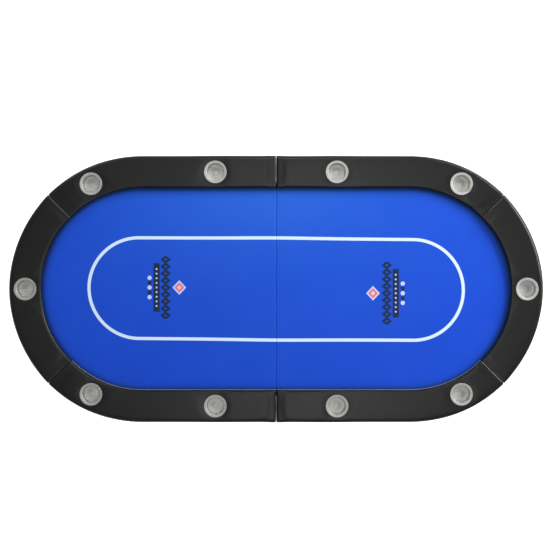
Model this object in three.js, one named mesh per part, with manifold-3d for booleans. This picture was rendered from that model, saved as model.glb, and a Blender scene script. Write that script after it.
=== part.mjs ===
import * as THREE from 'three';
import { mergeVertices } from 'three/addons/utils/BufferGeometryUtils.js';
import Module from 'manifold-3d';

// Folding card table top, millimetres, +Z up, long side along X, fold line on X = 0.

// overall
const TABLE_LENGTH = 2134;
const TABLE_WIDTH = 1067;
const END_RADIUS = TABLE_WIDTH / 2;
const ARC_CENTRE_X = (TABLE_LENGTH - TABLE_WIDTH) / 2;
const STEPS_PER_EIGHTH = 8;
const FIT = 0.3;

// heights of the layers
const FOOT_TOP = 7.2;
const BOARD_BOTTOM = 7.5;
const BOARD_TOP = 19.5;
const UNDERLAY_TOP = 24.8;
const CLOTH_TOP = 26;
const CORE_TOP = 33;
const RAIL_TOP = 49;

// padded rail
const RAIL_WIDTH = 130;
const RAIL_INNER = END_RADIUS - RAIL_WIDTH;
const RAIL_ROUND = 11;
const RAIL_END_GAP = 0.5;
const COVER_THICK = 1.2;
const COVER_LIP = 22;
const CLAMP_RADIUS = RAIL_INNER + 25;

// board, cloth and the fold line
const BOARD_INSET = 6;
const SEAM_GAP = 0.3;
const CLOTH_THICK = 0.9;
const CLOTH_RETURN = 32;
const BOARD_EDGE_X = SEAM_GAP + CLOTH_THICK + FIT;

// cup holders
const CUP_LINE = END_RADIUS - 67;
const CUP_FLANGE_RADIUS = 45;
const CUP_WALL_RADIUS = 34.8;
const CUP_WALL = 1;
const CUP_BOTTOM = 12;
const CUP_CORNER_ANGLE = 64;
const CUP_SIDE_X = 242.5;
const CUP_HOLE_RADIUS = 36;
const CUP_SEGMENTS = 20;

// hinges under the fold
const HINGE_AXIS_Z = 3.6;
const KNUCKLE_RADIUS = 3.5;
const PIN_RADIUS = 1.5;
const PIN_BORE_RADIUS = 1.56;
const HINGE_LENGTH = 76;
const HINGE_REACH = 34;
const LEAF_THICK = 1.5;
const HINGE_ROWS = { back: 360, middle: 0, front: -360 };

// rubber feet, right half; the left half has the same pattern turned half round
const FOOT_RADIUS = 16;
const FEET = [[110, -300], [110, 190], [760, -270], [800, 170]];

const wasm = await Module();
wasm.setup();

function toManifold(geometry) {
  const bare = geometry.clone();
  bare.deleteAttribute('normal');
  bare.deleteAttribute('uv');
  const merged = mergeVertices(bare, 1e-4);
  return new wasm.Manifold(new wasm.Mesh({
    numProp: 3,
    vertProperties: new Float32Array(merged.attributes.position.array),
    triVerts: new Uint32Array(merged.index.array),
  }));
}

function toGeometry(solid) {
  const mesh = solid.getMesh();
  const geometry = new THREE.BufferGeometry();
  geometry.setAttribute('position', new THREE.BufferAttribute(new Float32Array(mesh.vertProperties), 3));
  geometry.setIndex(new THREE.BufferAttribute(new Uint32Array(mesh.triVerts), 1));
  geometry.computeVertexNormals();
  return geometry;
}

function join(solids) {
  return solids.reduce((whole, solid) => whole.add(solid));
}

function cut(solid, tools) {
  return tools.reduce((whole, tool) => whole.subtract(tool), solid);
}

function box(low, high) {
  const size = high.map((value, i) => value - low[i]);
  const geometry = new THREE.BoxGeometry(size[0], size[1], size[2]);
  geometry.translate(low[0] + size[0] / 2, low[1] + size[1] / 2, low[2] + size[2] / 2);
  return toManifold(geometry);
}

function upright(x, y, radius, low, high, segments) {
  const geometry = new THREE.CylinderGeometry(radius, radius, high - low, segments);
  geometry.rotateX(Math.PI / 2);
  geometry.translate(x, y, (low + high) / 2);
  return toManifold(geometry);
}

function lying(y0, y1, radius) {
  const geometry = new THREE.CylinderGeometry(radius, radius, y1 - y0, 16);
  geometry.translate(0, (y0 + y1) / 2, HINGE_AXIS_Z);
  return toManifold(geometry);
}

function slab(shape, low, high) {
  const geometry = new THREE.ExtrudeGeometry(shape, { depth: high - low, bevelEnabled: false });
  geometry.translate(0, 0, low);
  return toManifold(geometry);
}

function roundedSlab(shape, high, round) {
  const depth = 40;
  const geometry = new THREE.ExtrudeGeometry(shape, {
    depth,
    bevelEnabled: true,
    bevelThickness: round,
    bevelSize: round,
    bevelOffset: -round,
    bevelSegments: 3,
  });
  geometry.translate(0, 0, high - depth - round);
  return toManifold(geometry);
}

function shapeFrom(points, xSign, ySign) {
  return new THREE.Shape(points.map(([x, y]) => new THREE.Vector2(x * xSign, y * ySign)));
}

function arc(radius, from, to, steps) {
  const points = [];
  for (let i = 0; i <= steps; i += 1) {
    const angle = from + ((to - from) * i) / steps;
    points.push([ARC_CENTRE_X + radius * Math.cos(angle), radius * Math.sin(angle)]);
  }
  return points;
}

// Half of the oval, from the fold line outwards.
function halfOval(xSign, radius, startX) {
  const rim = arc(radius, -Math.PI / 2, Math.PI / 2, STEPS_PER_EIGHTH * 4);
  return shapeFrom([[startX, -radius], ...rim, [startX, radius]], xSign, 1);
}

// Rail section along one side: straight from the fold line, then round to the 45 degree joint.
function sideSector(side, inner, outer, endInset) {
  const endOf = (radius) => Math.PI / 4 + Math.asin(endInset / radius);
  const rim = arc(outer, Math.PI / 2, endOf(outer), STEPS_PER_EIGHTH);
  const back = arc(inner, endOf(inner), Math.PI / 2, STEPS_PER_EIGHTH);
  return shapeFrom([[endInset, outer], ...rim, ...back, [endInset, inner]], side.x, side.y);
}

// Rail section round the end, between the two 45 degree joints.
function endSector(side, inner, outer, endInset) {
  const endOf = (radius) => Math.PI / 4 - Math.asin(endInset / radius);
  const rim = arc(outer, -endOf(outer), endOf(outer), STEPS_PER_EIGHTH * 2);
  const back = arc(inner, endOf(inner), -endOf(inner), STEPS_PER_EIGHTH * 2);
  return shapeFrom([...rim, ...back], side.x, 1);
}

function cupPlaces() {
  const corner = THREE.MathUtils.degToRad(CUP_CORNER_ANGLE);
  const cornerX = ARC_CENTRE_X + CUP_LINE * Math.cos(corner);
  const cornerY = CUP_LINE * Math.sin(corner);
  return [
    { name: 'end_cup', x: ARC_CENTRE_X + CUP_LINE, y: 0 },
    { name: 'back_corner_cup', x: cornerX, y: cornerY },
    { name: 'back_side_cup', x: CUP_SIDE_X, y: CUP_LINE },
    { name: 'front_corner_cup', x: cornerX, y: -cornerY },
    { name: 'front_side_cup', x: CUP_SIDE_X, y: -CUP_LINE },
  ];
}

const ALL_CUPS = [1, -1].flatMap((xSign) => cupPlaces().map((cup) => ({ ...cup, x: cup.x * xSign, xSign })));

function cupHoles(radius, low, high) {
  return ALL_CUPS.map((cup) => upright(cup.x, cup.y, radius, low, high, CUP_SEGMENTS));
}

function baseBoard(xSign) {
  const blank = slab(halfOval(xSign, END_RADIUS - BOARD_INSET, BOARD_EDGE_X), BOARD_BOTTOM, BOARD_TOP);
  return cut(blank, cupHoles(CUP_HOLE_RADIUS, 0, 30));
}

function underlay(xSign) {
  return slab(halfOval(xSign, CLAMP_RADIUS, BOARD_EDGE_X), BOARD_TOP + FIT, UNDERLAY_TOP);
}

function cloth(xSign) {
  const from = Math.min(SEAM_GAP * xSign, (SEAM_GAP + CLOTH_THICK) * xSign);
  const back = Math.min(SEAM_GAP * xSign, CLOTH_RETURN * xSign);
  const low = BOARD_BOTTOM - FIT - CLOTH_THICK;
  const top = slab(halfOval(xSign, CLAMP_RADIUS, SEAM_GAP), CLOTH_TOP - CLOTH_THICK, CLOTH_TOP);
  const edge = box([from, -CLAMP_RADIUS, low], [from + CLOTH_THICK, CLAMP_RADIUS, CLOTH_TOP]);
  const under = box([back, -CLAMP_RADIUS, low], [back + CLOTH_RETURN - SEAM_GAP, CLAMP_RADIUS, low + CLOTH_THICK]);
  const notches = Object.values(HINGE_ROWS).map((y) => box(
    [-50, y - HINGE_LENGTH / 2 - 3, 0],
    [50, y + HINGE_LENGTH / 2 + 3, BOARD_BOTTOM - FIT / 2],
  ));
  return cut(join([top, edge, under]), notches);
}

function railCore(sector, side) {
  const deep = COVER_THICK + 2 * FIT;
  const inset = COVER_LIP + 2;
  const reach = COVER_THICK + 2;
  const shelf = sector(side, RAIL_INNER + reach, END_RADIUS - reach, reach);
  const body = sector(side, CLAMP_RADIUS + 3, END_RADIUS - reach, inset);
  const foot = sector(side, CLAMP_RADIUS + 3, END_RADIUS - inset, inset);
  return cut(join([
    slab(shelf, CLOTH_TOP + deep, CORE_TOP),
    slab(body, BOARD_TOP + deep, CORE_TOP - 1),
    slab(foot, BOARD_TOP + FIT, CORE_TOP - 1),
  ]), cupHoles(CUP_HOLE_RADIUS, 0, 60));
}

function railPad(sector, side) {
  const inset = COVER_THICK + FIT;
  const shape = sector(side, RAIL_INNER + inset, END_RADIUS - inset, RAIL_END_GAP + inset);
  const blank = roundedSlab(shape, RAIL_TOP - inset, RAIL_ROUND - inset);
  const below = box([-1200, -600, -60], [1200, 600, CORE_TOP + FIT]);
  return cut(blank, [below, ...cupHoles(CUP_HOLE_RADIUS, 0, 60)]);
}

function railCover(sector, side) {
  const outside = sector(side, RAIL_INNER, END_RADIUS, RAIL_END_GAP);
  const inside = sector(side, RAIL_INNER + COVER_THICK, END_RADIUS - COVER_THICK, RAIL_END_GAP + COVER_THICK);
  const mouth = sector(side, RAIL_INNER + COVER_LIP, END_RADIUS - COVER_LIP, COVER_LIP);
  const step = halfOval(side.x, CLAMP_RADIUS + 1.5, -5);
  const under = (rise) => [
    box([-1200, -600, -60], [1200, 600, BOARD_TOP + FIT + rise]),
    slab(step, 0, CLOTH_TOP + FIT + rise),
  ];
  const skin = cut(roundedSlab(outside, RAIL_TOP, RAIL_ROUND), under(0));
  const hollow = cut(roundedSlab(inside, RAIL_TOP - COVER_THICK, RAIL_ROUND - COVER_THICK), under(COVER_THICK));
  return cut(skin, [hollow, slab(mouth, 0, CORE_TOP - 3), ...cupHoles(CUP_HOLE_RADIUS, 0, 60)]);
}

function cupHolder(cup) {
  const seat = RAIL_TOP + FIT;
  const outer = CUP_WALL_RADIUS;
  const inner = CUP_WALL_RADIUS - CUP_WALL;
  const profile = [
    [0, CUP_BOTTOM],
    [outer - 10, CUP_BOTTOM],
    [outer - 4, CUP_BOTTOM + 2.6],
    [outer, CUP_BOTTOM + 10],
    [outer, seat],
    [CUP_FLANGE_RADIUS, seat],
    [CUP_FLANGE_RADIUS - 0.6, seat + 1.3],
    [inner + 2.4, seat + 1.6],
    [inner, seat - 0.4],
    [inner, CUP_BOTTOM + 10.2],
    [inner - 3.9, CUP_BOTTOM + 3.6],
    [inner - 9.4, CUP_BOTTOM + CUP_WALL],
    [0, CUP_BOTTOM + CUP_WALL],
  ];
  const points = profile.map(([radius, height]) => new THREE.Vector2(radius, height));
  const geometry = new THREE.LatheGeometry(points, CUP_SEGMENTS);
  geometry.rotateX(Math.PI / 2);
  geometry.translate(cup.x, cup.y, 0);
  return toManifold(geometry);
}

function hingeLeaf(y, xSign) {
  const half = HINGE_LENGTH / 2;
  const third = HINGE_LENGTH / 6;
  const spans = xSign < 0
    ? [[y - half, y - third - 0.2], [y + third + 0.2, y + half]]
    : [[y - third + 0.2, y + third - 0.2]];
  const top = HINGE_AXIS_Z + KNUCKLE_RADIUS;
  const plate = xSign < 0
    ? box([-HINGE_REACH, y - half, top - LEAF_THICK], [-KNUCKLE_RADIUS - 0.8, y + half, top])
    : box([KNUCKLE_RADIUS + 0.8, y - half, top - LEAF_THICK], [HINGE_REACH, y + half, top]);
  const knuckles = spans.flatMap(([y0, y1]) => [
    lying(y0, y1, KNUCKLE_RADIUS),
    xSign < 0
      ? box([-KNUCKLE_RADIUS - 1, y0, top - LEAF_THICK], [-0.2, y1, top])
      : box([0.2, y0, top - LEAF_THICK], [KNUCKLE_RADIUS + 1, y1, top]),
  ]);
  return cut(join([plate, ...knuckles]), [lying(y - half - 5, y + half + 5, PIN_BORE_RADIUS)]);
}

function hingePin(y) {
  return lying(y - HINGE_LENGTH / 2 + 0.5, y + HINGE_LENGTH / 2 - 0.5, PIN_RADIUS);
}

function foot(x, y) {
  const geometry = new THREE.CylinderGeometry(FOOT_RADIUS, FOOT_RADIUS - 2, FOOT_TOP, 18);
  geometry.rotateX(Math.PI / 2);
  geometry.translate(x, y, FOOT_TOP / 2);
  return toManifold(geometry);
}

const MATERIALS = {
  board: { color: 0x17181a, roughness: 0.6, metalness: 0 },
  underlay: { color: 0xd8d6cf, roughness: 0.95, metalness: 0 },
  cloth: { color: 0x1d4fd0, roughness: 0.95, metalness: 0 },
  core: { color: 0xa88a63, roughness: 0.8, metalness: 0 },
  pad: { color: 0xe4dfc8, roughness: 0.95, metalness: 0 },
  cover: { color: 0x1c1d1f, roughness: 0.45, metalness: 0 },
  cup: { color: 0xc4c6c8, roughness: 0.3, metalness: 1 },
  hinge: { color: 0xb4b6b8, roughness: 0.35, metalness: 1 },
  foot: { color: 0x101010, roughness: 0.9, metalness: 0 },
};

const table = new THREE.Group();
table.name = 'folding_table_top';

function place(name, kind, solid) {
  const mesh = new THREE.Mesh(toGeometry(solid), new THREE.MeshStandardMaterial(MATERIALS[kind]));
  mesh.name = name;
  table.add(mesh);
}

for (const [half, xSign] of [['left', -1], ['right', 1]]) {
  place(`${half}_board`, 'board', baseBoard(xSign));
  place(`${half}_underlay`, 'underlay', underlay(xSign));
  place(`${half}_cloth`, 'cloth', cloth(xSign));
  const sections = [['back', sideSector, 1], ['end', endSector, 1], ['front', sideSector, -1]];
  for (const [where, sector, ySign] of sections) {
    const side = { x: xSign, y: ySign };
    place(`${half}_${where}_core`, 'core', railCore(sector, side));
    place(`${half}_${where}_pad`, 'pad', railPad(sector, side));
    place(`${half}_${where}_cover`, 'cover', railCover(sector, side));
  }
  FEET.forEach(([x, y], i) => place(`${half}_foot_${i + 1}`, 'foot', foot(x * xSign, y * xSign)));
}

for (const cup of ALL_CUPS) {
  place(`${cup.xSign < 0 ? 'left' : 'right'}_${cup.name}`, 'cup', cupHolder(cup));
}

for (const [row, y] of Object.entries(HINGE_ROWS)) {
  place(`${row}_hinge_left_leaf`, 'hinge', hingeLeaf(y, -1));
  place(`${row}_hinge_right_leaf`, 'hinge', hingeLeaf(y, 1));
  place(`${row}_hinge_pin`, 'hinge', hingePin(y));
}

export default table;
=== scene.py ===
import math

import bmesh
import bpy
from mathutils import Matrix, Vector, noise


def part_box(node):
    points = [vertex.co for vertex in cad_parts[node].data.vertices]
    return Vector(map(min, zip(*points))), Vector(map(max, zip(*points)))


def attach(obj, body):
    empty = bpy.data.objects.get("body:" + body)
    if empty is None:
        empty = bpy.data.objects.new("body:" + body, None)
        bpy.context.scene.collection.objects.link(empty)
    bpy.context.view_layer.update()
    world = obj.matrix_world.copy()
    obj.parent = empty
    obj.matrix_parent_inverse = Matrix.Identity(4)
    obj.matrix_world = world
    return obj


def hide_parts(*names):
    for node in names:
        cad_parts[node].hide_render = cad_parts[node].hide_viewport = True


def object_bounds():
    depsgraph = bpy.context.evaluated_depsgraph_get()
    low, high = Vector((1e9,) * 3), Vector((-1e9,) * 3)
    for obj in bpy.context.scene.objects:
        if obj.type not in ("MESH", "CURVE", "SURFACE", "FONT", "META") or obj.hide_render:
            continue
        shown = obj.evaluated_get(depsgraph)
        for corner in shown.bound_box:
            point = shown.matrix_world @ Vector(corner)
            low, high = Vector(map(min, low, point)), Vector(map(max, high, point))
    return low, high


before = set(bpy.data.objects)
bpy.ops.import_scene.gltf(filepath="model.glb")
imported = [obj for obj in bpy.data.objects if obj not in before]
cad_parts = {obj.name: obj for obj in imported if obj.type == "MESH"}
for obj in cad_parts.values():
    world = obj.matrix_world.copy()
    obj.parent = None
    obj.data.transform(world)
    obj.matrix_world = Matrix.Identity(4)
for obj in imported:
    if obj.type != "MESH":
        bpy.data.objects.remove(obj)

cadLow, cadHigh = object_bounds()
scene = bpy.context.scene
tableLength = cadHigh.x - cadLow.x
tableWidth = cadHigh.y - cadLow.y
endRadius = tableWidth / 2
arcCentreX = (tableLength - tableWidth) / 2
railWidth = 0.130
openingRadius = endRadius - railWidth


# ---------- camera, light and floor

cameraSetup = {
    "height": 5.0,
    "viewWidth": tableLength * 1.0452,  # a little more than the table is seen
    "offset": (tableLength * 0.0072, tableWidth * 0.0525),
}


def addCamera(setup):
    data = bpy.data.cameras.new("overheadCamera")
    camera = bpy.data.objects.new("overheadCamera", data)
    scene.collection.objects.link(camera)
    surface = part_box("left_end_cover")[1].z
    data.sensor_width = 36
    data.lens = data.sensor_width * (setup["height"] - surface) / setup["viewWidth"]
    camera.location = (setup["offset"][0], setup["offset"][1], setup["height"])
    scene.camera = camera


def addAreaLight(name, place, aim, size, power):
    data = bpy.data.lights.new(name, "AREA")
    data.shape = "RECTANGLE"
    data.size, data.size_y = size
    data.energy = power
    light = bpy.data.objects.new(name, data)
    light.location = place
    light.rotation_euler = (Vector(aim) - Vector(place)).to_track_quat("-Z", "Y").to_euler()
    scene.collection.objects.link(light)


# place, aim, size and power of each light
studioLights = {
    "keyLight": ((3.7, 1.4, 1.65), (0.1, 0.0, 0), (2.2, 1.9), 168),
    "topSoftbox": ((0.28, -0.45, 5.6), (0.28, -0.45, 0), (1.2, 3.8), 48),
    "backLight": ((0.1, 1.9, 1.9), (0.0, 0.1, 0), (1.1, 0.5), 15),
    "rightRim": ((3.2, 4.2, 2.4), (0.0, 0.0, 0), (1.2, 1.2), 95),
    "leftRim": ((-2.6, 3.4, 2.0), (0.2, 0.0, 0), (1.0, 0.8), 24),
}
roomSetup = {"ambient": 0.35, "seen": 1.0, "floorHalf": 14, "floorHeight": -1.25, "floorGlow": 0.85}


def addStudio():
    for name, (place, aim, size, power) in studioLights.items():
        addAreaLight(name, place, aim, size, power)
    world = bpy.data.worlds.new("whiteRoom")
    world.use_nodes = True
    tree = world.node_tree
    back = tree.nodes["Background"]
    path = tree.nodes.new("ShaderNodeLightPath")
    level = tree.nodes.new("ShaderNodeMapRange")  # seen white, but lights the table softly
    level.inputs["To Min"].default_value = roomSetup["ambient"]
    level.inputs["To Max"].default_value = roomSetup["seen"]
    tree.links.new(path.outputs["Is Camera Ray"], level.inputs["Value"])
    tree.links.new(level.outputs["Result"], back.inputs["Strength"])
    back.inputs["Color"].default_value = (1, 1, 1, 1)
    scene.world = world


def addFloor():
    mesh = bpy.data.meshes.new("floor")
    half = roomSetup["floorHalf"]
    height = roomSetup["floorHeight"]  # deep enough for the half that folds down
    corners = [(-half, -half, height), (half, -half, height), (half, half, height), (-half, half, height)]
    mesh.from_pydata(corners, [], [(0, 1, 2, 3)])
    floor = bpy.data.objects.new("floor", mesh)
    scene.collection.objects.link(floor)
    material = bpy.data.materials.new("paleFloor")
    material.use_nodes = True
    shader = material.node_tree.nodes["Principled BSDF"]
    shader.inputs["Base Color"].default_value = (0.86, 0.86, 0.86, 1)
    shader.inputs["Roughness"].default_value = 0.9
    shader.inputs["Emission Color"].default_value = (1, 1, 1, 1)
    shader.inputs["Emission Strength"].default_value = roomSetup["floorGlow"]
    mesh.materials.append(material)


scene.view_settings.view_transform = "Standard"
addCamera(cameraSetup)
addStudio()
addFloor()
print("stage ready")


# ---------- node helpers

def addNode(tree, kind, **settings):
    made = tree.nodes.new(kind)
    for key, value in settings.items():
        setattr(made, key, value)
    return made


def feed(tree, socket, value):
    if hasattr(value, "is_output"):
        tree.links.new(value, socket)
    else:
        socket.default_value = value


def calc(tree, operation, a, b=None, clamp=False):
    made = addNode(tree, "ShaderNodeMath", operation=operation, use_clamp=clamp)
    feed(tree, made.inputs[0], a)
    if b is not None:
        feed(tree, made.inputs[1], b)
    return made.outputs[0]


def blendColour(tree, factor, a, b):
    made = addNode(tree, "ShaderNodeMix", data_type="RGBA")
    feed(tree, made.inputs["Factor"], factor)
    feed(tree, made.inputs["A"], a)
    feed(tree, made.inputs["B"], b)
    return made.outputs["Result"]


def noiseField(tree, vector, scale, detail=2.0, rough=0.5):
    made = addNode(tree, "ShaderNodeTexNoise")
    feed(tree, made.inputs["Vector"], vector)
    made.inputs["Scale"].default_value = scale
    made.inputs["Detail"].default_value = detail
    made.inputs["Roughness"].default_value = rough
    return made.outputs["Fac"]


def newGroup(name, inputs, outputs):
    tree = bpy.data.node_groups.new(name, "ShaderNodeTree")
    for label, kind, value in inputs:
        socket = tree.interface.new_socket(label, in_out="INPUT", socket_type=kind)
        if value is not None:
            socket.default_value = value
    for label, kind in outputs:
        tree.interface.new_socket(label, in_out="OUTPUT", socket_type=kind)
    return tree, tree.nodes.new("NodeGroupInput").outputs, tree.nodes.new("NodeGroupOutput").inputs


def useGroup(tree, group, values):
    made = tree.nodes.new("ShaderNodeGroup")
    made.node_tree = group
    for key, value in values.items():
        feed(tree, made.inputs[key], value)
    return made.outputs


def newMaterial(name):
    material = bpy.data.materials.new(name)
    material.use_nodes = True
    tree = material.node_tree
    return material, tree, tree.nodes["Principled BSDF"]


def paintBase(tree, shader, factor, a, b):
    tree.links.new(blendColour(tree, factor, a, b), shader.inputs["Base Color"])


def varyRoughness(tree, shader, field, low, span):
    tree.links.new(calc(tree, "ADD", calc(tree, "MULTIPLY", field, span), low), shader.inputs["Roughness"])


def addBump(tree, shader, height, strength, distance):
    bump = addNode(tree, "ShaderNodeBump")
    bump.inputs["Strength"].default_value = strength
    bump.inputs["Distance"].default_value = distance
    tree.links.new(height, bump.inputs["Height"])
    tree.links.new(bump.outputs["Normal"], shader.inputs["Normal"])


floatKind, vectorKind = "NodeSocketFloat", "NodeSocketVector"


# ---------- shared surface effects

def makeGrainGroup():
    # pebbled skin of moulded vinyl: rounded cells with fine creases between them
    tree, given, out = newGroup("vinylGrain", [("Vector", vectorKind, None), ("Cell Scale", floatKind, 420.0)],
                                [("Height", floatKind), ("Patch", floatKind)])
    cells = addNode(tree, "ShaderNodeTexVoronoi", feature="SMOOTH_F1")
    tree.links.new(given["Vector"], cells.inputs["Vector"])
    tree.links.new(given["Cell Scale"], cells.inputs["Scale"])
    fine = noiseField(tree, given["Vector"], 900.0, 1.0)
    height = calc(tree, "ADD", calc(tree, "MULTIPLY", cells.outputs["Distance"], 0.8),
                  calc(tree, "MULTIPLY", fine, 0.2))
    tree.links.new(height, out["Height"])
    tree.links.new(noiseField(tree, given["Vector"], 9.0, 3.0), out["Patch"])
    return tree


def makeWeaveGroup():
    # close twill with a soft nap over it
    tree, given, out = newGroup("clothWeave", [("Vector", vectorKind, None), ("Threads", floatKind, 5200.0)],
                                [("Height", floatKind), ("Nap", floatKind)])
    axes = addNode(tree, "ShaderNodeSeparateXYZ")
    tree.links.new(given["Vector"], axes.inputs[0])
    warp = calc(tree, "SINE", calc(tree, "MULTIPLY", axes.outputs["X"], given["Threads"]))
    weft = calc(tree, "SINE", calc(tree, "MULTIPLY", axes.outputs["Y"], given["Threads"]))
    threads = calc(tree, "MULTIPLY", warp, weft)
    soft = noiseField(tree, given["Vector"], 260.0, 3.0, 0.6)
    tree.links.new(calc(tree, "ADD", calc(tree, "MULTIPLY", threads, 0.35), soft), out["Height"])
    tree.links.new(noiseField(tree, given["Vector"], 5.5, 4.0, 0.55), out["Nap"])
    return tree


def makeDustGroup():
    # light dust and rubbing, more of it in loose patches
    tree, given, out = newGroup("dustAndRub", [("Vector", vectorKind, None), ("Amount", floatKind, 0.2)],
                                [("Mask", floatKind)])
    broad = noiseField(tree, given["Vector"], 3.0, 4.0, 0.6)
    fine = noiseField(tree, given["Vector"], 140.0, 2.0, 0.7)
    mask = calc(tree, "MULTIPLY", calc(tree, "MULTIPLY", broad, fine), given["Amount"], clamp=True)
    tree.links.new(mask, out["Mask"])
    return tree


grainGroup = makeGrainGroup()
weaveGroup = makeWeaveGroup()
dustGroup = makeDustGroup()


# ---------- print on the cloth

printSettings = {
    "lineHalfLength": 0.7489,  # to the middle of the line
    "lineHalfWidth": 0.2010,
    "lineWidth": 0.0126,
    "lean": 0.0066,  # the print lies a little out of square
    "bulge": 0.017,  # and is narrower by this share at the fold
    "bulgeReach": 0.22,
    "badgeCentre": 0.4425,
    "badgeShift": (0.006, -0.017),  # left half, right half
    "barHalf": (0.0125, 0.097),
    "barPlace": -0.036,
    "dotRadius": 0.0036,
    "dotSpacing": 0.0185,
    "dotMargin": 0.014,
    "chainHalf": (0.0215, 0.126),
    "chainPlace": 0.0,
    "chainSpacing": 0.028,
    "pipHalf": (0.0068, 0.0050),
    "chipPlace": -0.064,
    "chipRadius": 0.0084,
    "diamondHalf": (0.0275, 0.0290),
    "diamondPlace": 0.055,
    "edge": 0.0006,
}


def makePrintGroup(values):
    tree, given, out = newGroup(
        "tablePrint",
        [("Vector", vectorKind, None), ("Line Width", floatKind, values["lineWidth"])],
        [("Line", floatKind), ("Dark", floatKind), ("Light", floatKind), ("Red", floatKind)],
    )

    def plus(a, b):
        return calc(tree, "ADD", a, b)

    def minus(a, b, clamp=False):
        return calc(tree, "SUBTRACT", a, b, clamp)

    def times(a, b):
        return calc(tree, "MULTIPLY", a, b)

    def over(a, b):
        return calc(tree, "DIVIDE", a, b)

    def size(a):
        return calc(tree, "ABSOLUTE", a)

    def larger(a, b):
        return calc(tree, "MAXIMUM", a, b)

    def inside(distance):
        # 1 where the distance is below zero, with a narrow soft edge
        return minus(0.5, over(distance, values["edge"] * 2), clamp=True)

    axes = addNode(tree, "ShaderNodeSeparateXYZ")
    tree.links.new(given["Vector"], axes.inputs[0])
    x = axes.outputs["X"]
    leaned = plus(axes.outputs["Y"], times(x, values["lean"]))
    away = size(x)
    near = over(1.0, plus(1.0, calc(tree, "POWER", over(away, values["bulgeReach"]), 2.0)))
    y = times(leaned, minus(1.0, times(near, values["bulge"])))

    # racetrack line
    straight = values["lineHalfLength"] - values["lineHalfWidth"]
    past = larger(minus(away, straight), 0.0)
    reach = calc(tree, "SQRT", plus(calc(tree, "POWER", past, 2.0), times(y, y)))
    offLine = size(minus(reach, values["lineHalfWidth"]))
    line = inside(minus(offLine, times(given["Line Width"], 0.5)))
    tree.links.new(line, out["Line"])

    # card ornament: t runs towards the fold, v across the table
    t = minus(values["badgeCentre"], away)
    onRight = calc(tree, "GREATER_THAN", x, 0.0)
    left, right = values["badgeShift"]
    shift = plus(times(onRight, right - left), left)
    v = minus(axes.outputs["Y"], shift)
    vAbs = size(v)

    def offT(place):
        return size(minus(t, place))

    def repeat(spacing):
        return calc(tree, "PINGPONG", v, spacing / 2)

    def rounded(a, b, radius):
        return minus(calc(tree, "SQRT", plus(times(a, a), times(b, b))), radius)

    def lozenge(a, b, halfA, halfB):
        return times(minus(plus(over(a, halfA), over(b, halfB)), 1.0), min(halfA, halfB))

    barT = offT(values["barPlace"])
    barHalfT, barHalfV = values["barHalf"]
    bar = times(inside(minus(barT, barHalfT)), inside(minus(vAbs, barHalfV)))
    dots = times(inside(rounded(barT, repeat(values["dotSpacing"]), values["dotRadius"])),
                 inside(minus(vAbs, barHalfV - values["dotMargin"])))
    chainT, links = offT(values["chainPlace"]), repeat(values["chainSpacing"])
    chainEnds = inside(minus(vAbs, values["chainHalf"][1]))
    chain = times(inside(lozenge(chainT, links, values["chainHalf"][0], values["chainSpacing"] * 0.62)), chainEnds)
    pip = times(inside(lozenge(chainT, links, *values["pipHalf"])), chainEnds)
    chipT = offT(values["chipPlace"])
    wide = values["chipRadius"] * 4.6
    lightChips = inside(rounded(chipT, repeat(wide), values["chipRadius"]))
    darkChips = inside(rounded(chipT, minus(wide / 2, repeat(wide)), values["chipRadius"]))
    chipEnds = inside(minus(vAbs, wide * 1.25))
    iconT = offT(values["diamondPlace"])
    halfT, halfV = values["diamondHalf"]
    iconEdge = inside(lozenge(iconT, vAbs, halfT, halfV))
    iconFill = inside(lozenge(iconT, vAbs, halfT * 0.74, halfV * 0.74))
    iconHeart = inside(lozenge(iconT, vAbs, halfT * 0.3, halfV * 0.3))
    dark = larger(larger(minus(chain, pip, clamp=True), bar), times(darkChips, chipEnds))
    light = larger(larger(dots, times(lightChips, chipEnds)), larger(iconEdge, iconHeart))
    tree.links.new(dark, out["Dark"])
    tree.links.new(light, out["Light"])
    tree.links.new(minus(iconFill, iconHeart, clamp=True), out["Red"])
    return tree


printGroup = makePrintGroup(printSettings)


# ---------- materials

finishes = {
    "vinyl": {"colour": (0.0042, 0.0044, 0.0048, 1), "rough": (0.29, 0.38), "shine": 0.30},
    # the crease colour is lighter than the skin: a painted highlight on the joint lines; its lower roughness and
    # higher shine are the finish
    "vinylEdgeHighlight": {"colour": (0.0090, 0.0092, 0.0096, 1), "rough": (0.20, 0.28), "shine": 0.62},
    # the lighter cyan patch set here is painted light, and the darkening along the rail's foot is painted shade
    "clothBlue": {"dark": (0.0035, 0.039, 0.51, 1), "light": (0.0060, 0.053, 0.575, 1),
                  "paintedLight": (0.020, 0.110, 0.62, 1), "paintedLightPlace": (-0.05, 0.42, 0.0),
                  "paintedLightReach": (0.52, 0.27, 1.0), "paintedLightAmount": 0.85,
                  "footShade": 1.35, "footReach": 0.0085, "footMost": 0.72},
    # each ink and how fully it covers the cloth, in the order they are printed
    "ink": {"Dark": ((0.008, 0.010, 0.022, 1), 0.95), "Light": ((0.62, 0.64, 0.95, 1), 0.9),
            "Red": ((0.78, 0.13, 0.09, 1), 0.92), "Line": ((0.66, 0.80, 0.97, 1), 0.95)},
}


def objectCoordinates(tree):
    return addNode(tree, "ShaderNodeTexCoord").outputs["Object"]


def makeVinyl(name, values):
    material, tree, shader = newMaterial(name)
    where = objectCoordinates(tree)
    grain = useGroup(tree, grainGroup, {"Vector": where, "Cell Scale": 430.0})
    dust = useGroup(tree, dustGroup, {"Vector": where, "Amount": 0.08})
    paintBase(tree, shader, dust["Mask"], values["colour"], (0.12, 0.12, 0.12, 1))
    low, high = values["rough"]
    varyRoughness(tree, shader, grain["Patch"], low, high - low)
    shader.inputs["Specular IOR Level"].default_value = values["shine"]
    addBump(tree, shader, grain["Height"], 0.3, 0.0003)
    return material


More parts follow.
